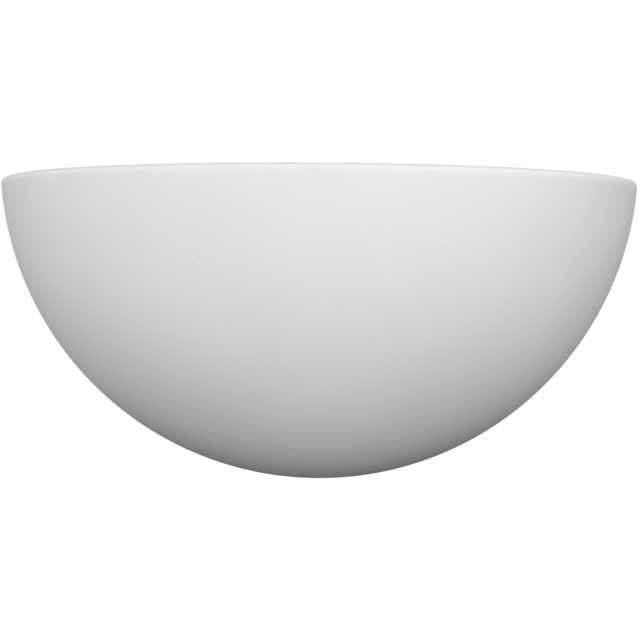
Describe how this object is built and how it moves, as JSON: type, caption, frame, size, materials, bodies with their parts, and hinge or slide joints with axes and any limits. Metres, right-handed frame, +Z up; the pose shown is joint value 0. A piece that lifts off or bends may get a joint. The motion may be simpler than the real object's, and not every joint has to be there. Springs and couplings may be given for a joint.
{
  "type": "uplighter wall sconce",
  "caption": "Half-bowl ceramic uplighter for a wall, open at the top, clamped to a steel bracket with an upright small screw lampholder and globe lamp.",
  "frame": {"origin": "midway between the two wall slots of the bracket, in the wall plane", "axes": "+X to the right of someone facing the light, +Y into the wall, +Z up; the bowl stands out towards -Y"},
  "size_m": [0.3096, 0.1548, 0.145],
  "materials": {
    "bisque": "unglazed matt white",
    "zinc_steel": "bright zinc plated",
    "stud_steel": "zinc plated threads",
    "brass": "bright machined brass",
    "tinned_brass": "tinned brass",
    "spring_bronze": "phosphor bronze",
    "nickel_cap": "satin nickel plated shell",
    "fibre": "vulcanised fibre",
    "black_rubber": "soft moulded rubber",
    "phenolic": "black phenolic moulding",
    "block_plastic": "natural polyamide",
    "clip_nylon": "natural nylon",
    "brown_cover": "extruded lead cover",
    "blue_cover": "extruded lead cover",
    "earth_cover": "green lead cover with a yellow stripe",
    "opal": "satin opal diffuser",
    "lamp_housing": "white moulding",
    "circuit_board": "green circuit board",
    "led_board": "white faced aluminium board",
    "black_glass": "black insulator"
  },
  "bodies": {
    "bracket": {"wall_bracket": "zinc_steel", "mounting_studs": "stud_steel", "bracket_arm": "zinc_steel", "arm_rivets": "stud_steel", "cable_grommet": "black_rubber", "earth_stud": "stud_steel", "earth_ring_terminal": "tinned_brass", "earth_lock_washer": "stud_steel", "earth_nut": "brass", "terminal_block": "block_plastic", "terminal_inserts": "brass", "terminal_screws": "stud_steel", "block_screws": "stud_steel", "holder_nipple": "stud_steel", "nipple_washer": "stud_steel", "nipple_locknut": "zinc_steel", "holder_cap": "phenolic", "cap_grub_screw": "stud_steel", "holder_insert": "phenolic", "holder_terminals": "brass", "holder_terminal_screws": "brass", "centre_contact": "spring_bronze", "thread_sleeve": "brass", "holder_skirt": "phenolic", "lead_live": "brown_cover", "lead_neutral": "blue_cover", "lead_earth": "earth_cover", "lead_clip": "clip_nylon"},
    "bowl": {"bowl": "bisque", "ear_washers": "fibre"},
    "left_nut": {"thumb_nut_left": "brass"},
    "right_nut": {"thumb_nut_right": "brass"},
    "lamp": {"lamp_contact": "nickel_cap", "lamp_insulator": "black_glass", "lamp_screw_cap": "nickel_cap", "lamp_body": "lamp_housing", "lamp_driver_board": "circuit_board", "lamp_led_board": "led_board", "lamp_globe": "opal"}
  },
  "joints": [
    {"name": "bowl_slide", "type": "slide", "parent": "bracket", "child": "bowl", "axis": [0, -1, 0], "range_m": [0, 0.1]},
    {"name": "left_nut_turn", "type": "hinge", "parent": "bowl", "child": "left_nut", "pos_m": [-0.106, -0.016, 0], "axis": [0, -1, 0], "continuous": true},
    {"name": "right_nut_turn", "type": "hinge", "parent": "bowl", "child": "right_nut", "pos_m": [0.106, -0.016, 0], "axis": [0, -1, 0], "continuous": true},
    {"name": "lamp_lift", "type": "slide", "parent": "bracket", "child": "lamp", "axis": [0, 0, 1], "range_m": [0, 0.11]}
  ]
}
